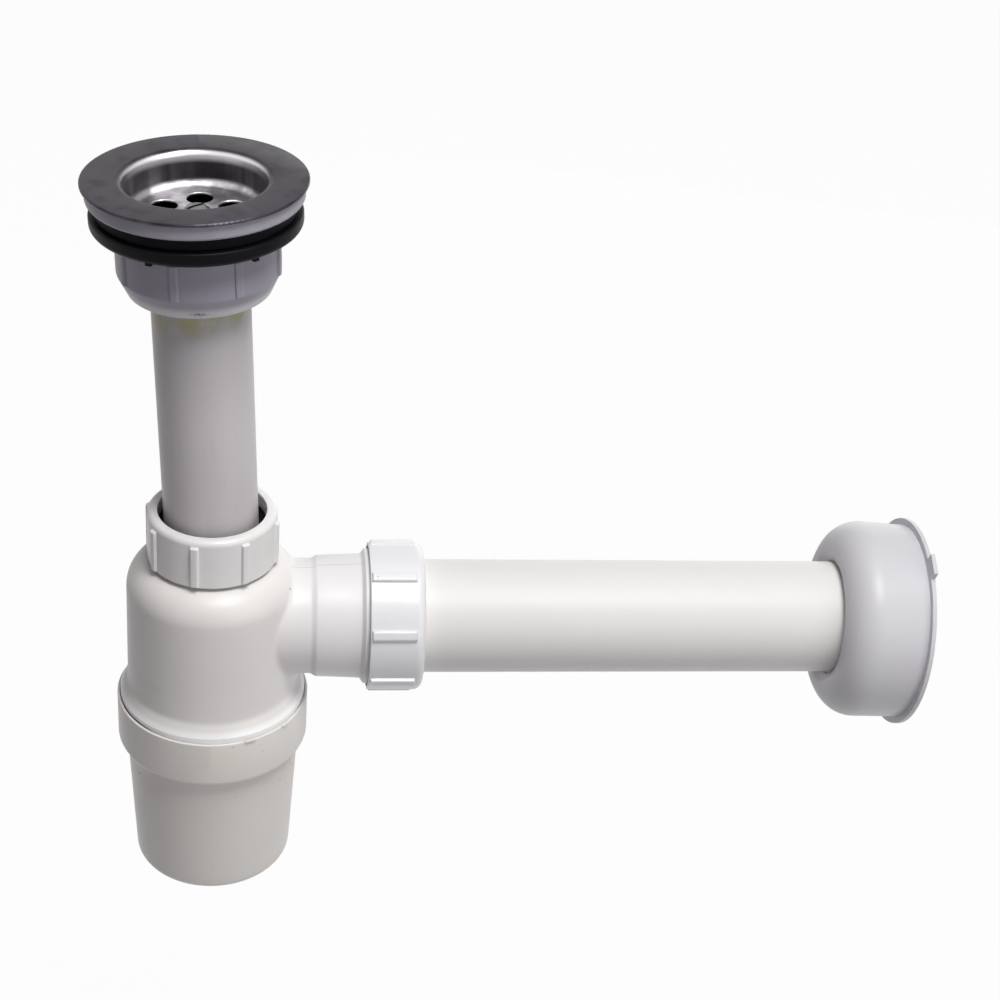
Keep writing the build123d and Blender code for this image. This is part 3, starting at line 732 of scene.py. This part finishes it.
    def ivory(self, colours):
        """Glossy extruded outlet pipe with fine marks along it."""
        finish = Finish("outlet_ivory", Specular_IOR_Level=0.30)
        turned_way = (0, on_outlet.to_euler().y - math.pi / 2, 0)
        where = finish.at(branch_mouth, turned_way)
        slim = finish.at(branch_mouth, turned_way, (0.05, 1, 1))
        long = finish.at(branch_mouth, turned_way, (0.3, 1, 1))
        clouds = finish.noise(0.020, 3.0, where)
        lines = finish.noise(0.0010, 2.0, slim, 9.0)
        tone = finish.shades(clouds, colours.outlet, 0.975, 1.02)
        marks = finish.specks(0.006, 0.00045, 0.14, 6.4)
        tone = finish.blend(marks * 0.7, tone, colour_of(OUTLET_SPECK))
        scuffs = finish.ease(finish.noise(0.006, 6.0, long, 3.0), 0.63, 0.8)
        tone = finish.blend(scuffs * 0.08, tone, colour_of(OUTLET_SCUFF))
        return finish.paint(tone, 0.42 + scuffs * 0.12 + clouds * 0.05, lines, DRAWN_LINES)

    def pale_seal(self, colours):
        """Translucent soft seal."""
        finish = Finish("pale_seal", Specular_IOR_Level=0.4, Subsurface_Weight=0.25, Subsurface_Scale=0.004)
        where = finish.at()
        clouds = finish.noise(0.008, 4.0, where)
        tone = finish.shades(clouds, colours.seal, 0.88, 1.08)
        dust = finish.ease(finish.noise(0.002, 4.0, where, 3.0), 0.6, 0.8)
        tone = finish.blend(dust * 0.15, tone, colour_of(SEAL_DUST))
        return finish.paint(tone, 0.42 + clouds * 0.1, finish.noise(0.0015, 2.0, where, 4.0), SOFT_PITS)

    def black_rubber(self, colours):
        """Matt rubber with light dust."""
        finish = Finish("black_rubber", Specular_IOR_Level=0.07)
        where = finish.at()
        dust = finish.ease(finish.noise(0.004, 6.0, where), 0.5, 0.8)
        tone = finish.blend(dust * 0.12, colour_of(colours.rubber), colour_of(RUBBER_DUST))
        return finish.paint(tone, 0.55 + dust * 0.2, finish.noise(0.0008, 3.0, where, 4.0), RUBBER_PITS)

    def black_moulding(self, colours):
        """Satin black plastic of the waste body."""
        finish = Finish("black_plastic", Specular_IOR_Level=0.08)
        where = finish.at()
        clouds = finish.noise(0.006, 5.0, where)
        tone = finish.shades(clouds, colours.rubber, 0.8, 1.8)
        return finish.paint(tone, 0.36 + clouds * 0.15, finish.noise(0.0012, 2.0, where, 4.0), SOFT_PITS)

    def brushed_steel(self, colours):
        """Steel brushed round its middle, with painted reflections: a dark flange, a dark wall streaked
        bright, a bright floor with darker patches and a painted highlight on the mouth's far side.
        """
        finish = Finish("brushed_steel", Metallic=1.0)
        where = finish.at()
        x, y, z = finish.apart(where)
        radius = finish.sum("SQRT", x * x + y * y)
        angle = finish.sum("ARCTAN2", y, x)
        rings = finish.node("ShaderNodeCombineXYZ", None, {0: radius, 1: angle * 0.0012, 2: z})
        grain = finish.noise(0.00035, 3.0, rings, 1.0)
        wall = finish.node("ShaderNodeCombineXYZ", None, {0: angle * 0.022, 1: radius * 0.1, 2: z * 0.12})
        reflection_streaks = finish.ease(finish.noise(0.007, 4.0, wall, 3.0), 0.38, 0.72)
        clouds = finish.noise(0.010, 4.0, where, 2.0)
        top = self.flange_height  # each band below is measured down from it
        flat = finish.ease(z, top - 0.0012, top - 0.0001)
        mouth = finish.ease(z, top - 0.0046, top - 0.0022)
        mouth = mouth * (1 - finish.ease(z, top - 0.0008, top - 0.0001))
        far_side_highlight = finish.ease(y, -0.004, 0.019)
        low = 1 - finish.ease(z, top - 0.0110, top - 0.0092)
        # Painted reflections: the dark wall is streaked lighter along its brushing
        tone = finish.blend(reflection_streaks * 0.75, colour_of(colours.steel), colour_of(colours.bright_steel, 0.33))
        # Painted highlight on the far side of the mouth's rounded rim
        tone = finish.blend(mouth * far_side_highlight * 0.9, tone, colour_of(colours.bright_steel, 1.2))
        # Painted reflections: the recess floor is bright with darker and brighter patches
        floor = finish.shades(finish.ease(clouds, 0.40, 0.60), colours.bright_steel, 0.45, 1.1)
        tone = finish.blend(low, tone, floor)
        # Painted dark reflection: the flange's top is given a near-black steel colour
        tone = finish.blend(flat, tone, colour_of(colours.dark_reflecting_steel))
        tone = finish.blend(grain, tone, finish.blend(1.0, tone, (1.3, 1.3, 1.3, 1), "MULTIPLY"))
        smudges = finish.ease(finish.noise(0.007, 5.0, where, 6.0), 0.46, 0.66)
        tone = finish.blend(smudges * flat * 0.8, tone, colour_of(colours.dark_reflecting_steel, 0.45))
        roughness = 0.26 + grain * 0.12 + clouds * 0.10
        return finish.paint(tone, roughness, grain, BRUSHED_LINES)

    def turned_steel(self, colours):
        """Steel of the screw."""
        finish = Finish("screw_steel", Metallic=1.0)
        where = finish.at()
        clouds = finish.noise(0.003, 4.0, where)
        tone = finish.shades(clouds, colours.bright_steel, 0.22, 0.45)
        fine = finish.noise(0.0006, 2.0, where, 2.0)
        return finish.paint(tone, 0.24 + clouds * 0.12, fine, BRUSHED_LINES)

    def turned_brass(self, colours):
        """Brass of the screw's bush."""
        finish = Finish("brass", Metallic=1.0)
        clouds = finish.noise(0.003, 4.0, finish.at())
        tone = finish.shades(clouds, colours.brass, 0.8, 1.05)
        return finish.paint(tone, 0.28 + clouds * 0.12, clouds, BRUSHED_LINES)


made_finishes = {}


def finishes():
    """The materials, made on the first call together with the geometry trees."""
    if not made_finishes:
        made_finishes["all"] = TrapFinishes(bpy.context.scene.trap_colours)
        made_finishes["ribs"] = rib_tree()
        made_finishes["thread"] = thread_tree()
        made_finishes["groove"] = groove_tree()
    return made_finishes["all"]


def ribbed_nut(name, nut, rib_width, rib_height, rib_turn, placing, material):
    """A nut turned from its outline, with grip ribs outside and a thread inside."""
    sizes = bpy.context.scene.trap_sizes
    made = turned_object(name, nut["outline"])
    bottom, top = nut["ribs"]
    with_tree(made, made_finishes["ribs"], {
        "Count": float(sizes.rib_count), "Width": rib_width, "Height": rib_height, "Turn": rib_turn,
        "Grip radius": nut["grip"] * MM / 2, "Bottom": bottom * MM, "Top": top * MM, "Material": material,
    })
    radius, bottom, top = nut["thread"]
    with_tree(made, made_finishes["thread"], {
        "Pitch": sizes.thread_pitch, "Depth": sizes.thread_depth, "Thread radius": radius * MM,
        "Bottom": bottom * MM, "Top": top * MM, "Material": material,
    })
    made.data.transform(placing)
    return made


def grooved(made, thread, material, placing):
    """Cuts the groove of a thread on the axis of a placement."""
    radius, bottom, top = thread
    sizes = bpy.context.scene.trap_sizes
    made.data.transform(placing.inverted())
    with_tree(made, made_finishes["groove"], {
        "Pitch": sizes.thread_pitch, "Groove": sizes.thread_depth, "Thread radius": radius * MM,
        "Bottom": bottom * MM, "Turns": (top - bottom) * MM / sizes.thread_pitch, "Material": material,
    })
    made.data.transform(placing)


def with_flash_tabs(made):
    """Adds the small moulding flashes that stand out from the collar's rim."""
    made.data.transform(on_bottle.inverted())
    work = bmesh.new()
    work.from_mesh(made.data)
    at_rim = Matrix.Translation((COLLAR_RADIUS, 0, CUP_RIM))
    for degrees, width in FLASH_TABS:
        placed = Matrix.Rotation(math.radians(degrees), 4, "Z") @ at_rim
        size = Matrix.Diagonal((FLASH_DEPTH, width * MM, FLASH_HEIGHT, 1))
        bar = bmesh.ops.create_cube(work, size=1.0, matrix=placed @ size)
        edges = {edge for vert in bar["verts"] for edge in vert.link_edges}
        bmesh.ops.bevel(work, geom=list(edges), offset=FLASH_ROUNDING, segments=2, affect="EDGES")
    work.to_mesh(made.data)
    work.free()
    made.data.transform(on_bottle)


# One operator for each piece or group of like pieces


class BOTTLETRAP_OT_strainer(bpy.types.Operator):
    """Strainer plate, its screw and the screw's bush"""

    bl_idname = "bottle_trap.strainer"
    bl_label = "Strainer"

    def execute(self, context):
        all_finishes = finishes()
        rows = (
            ("strainer_plate", "strainer", "steel", all_finishes.steel, 40.0),
            ("strainer_screw", "screw", "steel", all_finishes.screw_steel, 32.0),
            ("waste_insert", "bush", "brass", all_finishes.brass, 32.0),
        )
        for node, name, slot, material, angle in rows:
            finished(copied(node, name), [node], "waste", material, angle)
        return {"FINISHED"}


class BOTTLETRAP_OT_seals(bpy.types.Operator):
    """All seals, gaskets and slip rings"""

    bl_idname = "bottle_trap.seals"
    bl_label = "Seals"

    def execute(self, context):
        all_finishes = finishes()
        rows = (
            ("upper_seal", "waste", "pale_seal", all_finishes.seal),
            ("lower_seal", "waste", "black_rubber", all_finishes.rubber),
            ("tail_gasket", "tail", "black_rubber", all_finishes.rubber),
            ("inlet_seal", "height_seal", "black_rubber", all_finishes.rubber),
            ("cup_seal", "cup_seal", "black_rubber", all_finishes.rubber),
            ("outlet_seal", "outlet_seal", "black_rubber", all_finishes.rubber),
            ("inlet_slip_ring", "inlet_ring", "nut_white", all_finishes.nut),
            ("outlet_slip_ring", "outlet_ring", "nut_white", all_finishes.nut),
        )
        for node, body, slot, material in rows:
            finished(copied(node, "soft_" + node), [node], body, material)
        return {"FINISHED"}


class BOTTLETRAP_OT_waste(bpy.types.Operator):
    """Black waste body"""

    bl_idname = "bottle_trap.waste"
    bl_label = "Waste body"

    def execute(self, context):
        material = finishes().black
        body = copied("waste_body", "waste_moulding")
        grooved(body, WASTE_THREAD, material, on_waste)
        finished(body, ["waste_body"], "waste", material)
        return {"FINISHED"}


class BOTTLETRAP_OT_nuts(bpy.types.Operator):
    """The three union nuts"""

    bl_idname = "bottle_trap.nuts"
    bl_label = "Nuts"

    def execute(self, context):
        all_finishes = finishes()
        sizes = context.scene.trap_sizes
        rows = (
            ("waste_nut", "waste_union_nut", WASTE_NUT, on_waste, all_finishes.waste_nut,
             sizes.rib_width, sizes.waste_rib_height, sizes.waste_rib_turn),
            ("inlet_nut", "inlet_union_nut", INLET_NUT, on_bottle, all_finishes.inlet_nut,
             sizes.rib_width, sizes.inlet_rib_height, sizes.inlet_rib_turn),
            ("outlet_nut", "outlet_union_nut", OUTLET_NUT, on_outlet, all_finishes.nut,
             sizes.outlet_rib_width, sizes.outlet_rib_height, sizes.outlet_rib_turn),
        )
        for node, name, nut, placing, material, width, height, rib_turn in rows:
            made = ribbed_nut(name, nut, width, height, rib_turn, placing, material)
            finished(made, [node], node, material)
        return {"FINISHED"}


class BOTTLETRAP_OT_pipes(bpy.types.Operator):
    """Tail pipe and outlet pipe"""

    bl_idname = "bottle_trap.pipes"
    bl_label = "Pipes"

    def execute(self, context):
        all_finishes = finishes()
        tail = copied("tail_pipe", "upright_pipe")
        finished(tail, ["tail_pipe"], "tail", all_finishes.tail)
        outlet = copied("outlet_pipe", "straight_outlet")
        finished(outlet, ["outlet_pipe"], "outlet_pipe", all_finishes.outlet)
        return {"FINISHED"}


class BOTTLETRAP_OT_bottle(bpy.types.Operator):
    """Trap body and its screw-off cup"""

    bl_idname = "bottle_trap.bottle"
    bl_label = "Bottle"

    def execute(self, context):
        all_finishes = finishes()
        body = copied("trap_body", "bottle_body")
        grooved(body, NECK_THREAD, all_finishes.body, on_bottle)
        grooved(body, SKIRT_THREAD, all_finishes.body, on_bottle)
        grooved(body, BRANCH_THREAD, all_finishes.body, on_outlet)
        finished(body, ["trap_body"], "trap", all_finishes.body)
        cup = copied("cup", "screw_off_cup")
        grooved(cup, CUP_THREAD, all_finishes.cup, on_bottle)
        with_flash_tabs(cup)
        finished(cup, ["cup"], "cup", all_finishes.cup)
        return {"FINISHED"}


class BOTTLETRAP_OT_cover(bpy.types.Operator):
    """Wall cover on the outlet pipe"""

    bl_idname = "bottle_trap.cover"
    bl_label = "Wall cover"

    def execute(self, context):
        cover = copied("rosette", "wall_cover")
        finished(cover, ["rosette"], "rosette", finishes().cover)
        return {"FINISHED"}


class BOTTLETRAP_OT_stage(bpy.types.Operator):
    """Floor, white room, lamps and camera"""

    bl_idname = "bottle_trap.stage"
    bl_label = "Stage"

    def execute(self, context):
        stage = context.scene.trap_stage
        self.add_floor(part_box("cup")[0].z - stage.floor_drop)
        self.add_world(stage.world)
        for name, place, size, power in LAMPS:
            self.add_lamp(name, place, size, getattr(stage, power))
        camera = bpy.data.cameras.new("camera")
        camera.lens = stage.lens
        camera.sensor_width = 36.0
        camera.sensor_fit = "HORIZONTAL"
        camera.clip_start = 0.01
        placed = bpy.data.objects.new("camera", camera)
        placed.location = stage.camera_place
        placed.rotation_euler = stage.camera_turn
        context.scene.collection.objects.link(placed)
        context.scene.camera = placed
        context.scene.view_settings.view_transform = "Standard"
        return {"FINISHED"}

    def add_floor(self, height):
        work = bmesh.new()
        bmesh.ops.create_grid(work, x_segments=4, y_segments=4, size=FLOOR_REACH)
        mesh = bpy.data.meshes.new("floor")
        work.to_mesh(mesh)
        work.free()
        floor = bpy.data.objects.new("floor", mesh)
        floor.location = (0, 0, height)
        bpy.context.scene.collection.objects.link(floor)
        finish = Finish("pale_floor", Roughness=0.9, Specular_IOR_Level=0.1)
        clouds = finish.noise(0.4, 2.0)
        finish.paint(finish.blend(clouds, (0.60, 0.60, 0.61, 1), (0.64, 0.64, 0.65, 1)))
        white = finish.node("ShaderNodeEmission", None, {"Color": WHITE, "Strength": 1.0})
        seen = self.seen_rays(finish)
        lit = Value(finish, finish.shader.outputs[0])
        shown = finish.node("ShaderNodeMixShader", None, {0: seen * SEEN_WHITE, 1: lit, 2: white})
        finish.feed(finish.made.nodes["Material Output"].inputs["Surface"], shown)
        floor.data.materials.append(finish.material)

    def seen_rays(self, tree):
        """1 for rays that show the background: camera, glossy and transmission rays."""
        path = tree.made.nodes.new("ShaderNodeLightPath")
        shown = Value(tree, path.outputs["Is Camera Ray"])
        for name in ("Is Glossy Ray", "Is Transmission Ray"):
            shown = tree.sum("MAXIMUM", shown, Value(tree, path.outputs[name]))
        return shown

    def add_world(self, strength):
        world = bpy.data.worlds.new("white_room")
        world.use_nodes = True
        bpy.context.scene.world = world
        tree = Tree(world.node_tree)
        seen = self.seen_rays(tree)
        background = world.node_tree.nodes["Background"]
        inputs = {0: seen, 6: SHADE_TINT, 7: WHITE}
        tree.feed(background.inputs["Color"], tree.node("ShaderNodeMix", {"data_type": "RGBA"}, inputs, 2))
        tree.feed(background.inputs["Strength"], seen * (1 - strength) + strength)

    def add_lamp(self, name, place, size, power):
        lamp = bpy.data.lights.new(name, "AREA")
        lamp.shape = "DISK"
        lamp.size = size
        lamp.energy = power
        placed = bpy.data.objects.new(name, lamp)
        placed.location = place
        placed.rotation_euler = (Vector(LAMP_TARGET) - Vector(place)).to_track_quat("-Z", "Y").to_euler()
        bpy.context.scene.collection.objects.link(placed)


class BOTTLETRAP_PT_panel(bpy.types.Panel):
    """Lists the sizes, the colours, the stage's values and the operators"""

    bl_idname = "BOTTLETRAP_PT_panel"
    bl_label = "Bottle trap"
    bl_space_type = "VIEW_3D"
    bl_region_type = "UI"
    bl_category = "Bottle trap"

    def draw(self, context):
        for group in (context.scene.trap_sizes, context.scene.trap_colours, context.scene.trap_stage):
            box = self.layout.box()
            for name in group.__annotations__:
                box.prop(group, name)
        for operator in operators:
            self.layout.operator(operator.bl_idname)


operators = (
    BOTTLETRAP_OT_stage, BOTTLETRAP_OT_strainer, BOTTLETRAP_OT_seals, BOTTLETRAP_OT_waste,
    BOTTLETRAP_OT_nuts, BOTTLETRAP_OT_pipes, BOTTLETRAP_OT_bottle, BOTTLETRAP_OT_cover,
)
groups = (TrapColours, TrapSizes, TrapStage)


def register():
    for made in groups + operators + (BOTTLETRAP_PT_panel,):
        bpy.utils.register_class(made)
    bpy.types.Scene.trap_colours = bpy.props.PointerProperty(type=TrapColours)
    bpy.types.Scene.trap_sizes = bpy.props.PointerProperty(type=TrapSizes)
    bpy.types.Scene.trap_stage = bpy.props.PointerProperty(type=TrapStage)


def unregister():
    del bpy.types.Scene.trap_stage
    del bpy.types.Scene.trap_sizes
    del bpy.types.Scene.trap_colours
    for made in reversed(groups + operators + (BOTTLETRAP_PT_panel,)):
        bpy.utils.unregister_class(made)


def main():
    register()
    for operator in operators:
        group, name = operator.bl_idname.split(".")
        getattr(getattr(bpy.ops, group), name)()


if __name__ == "__main__":
    main()
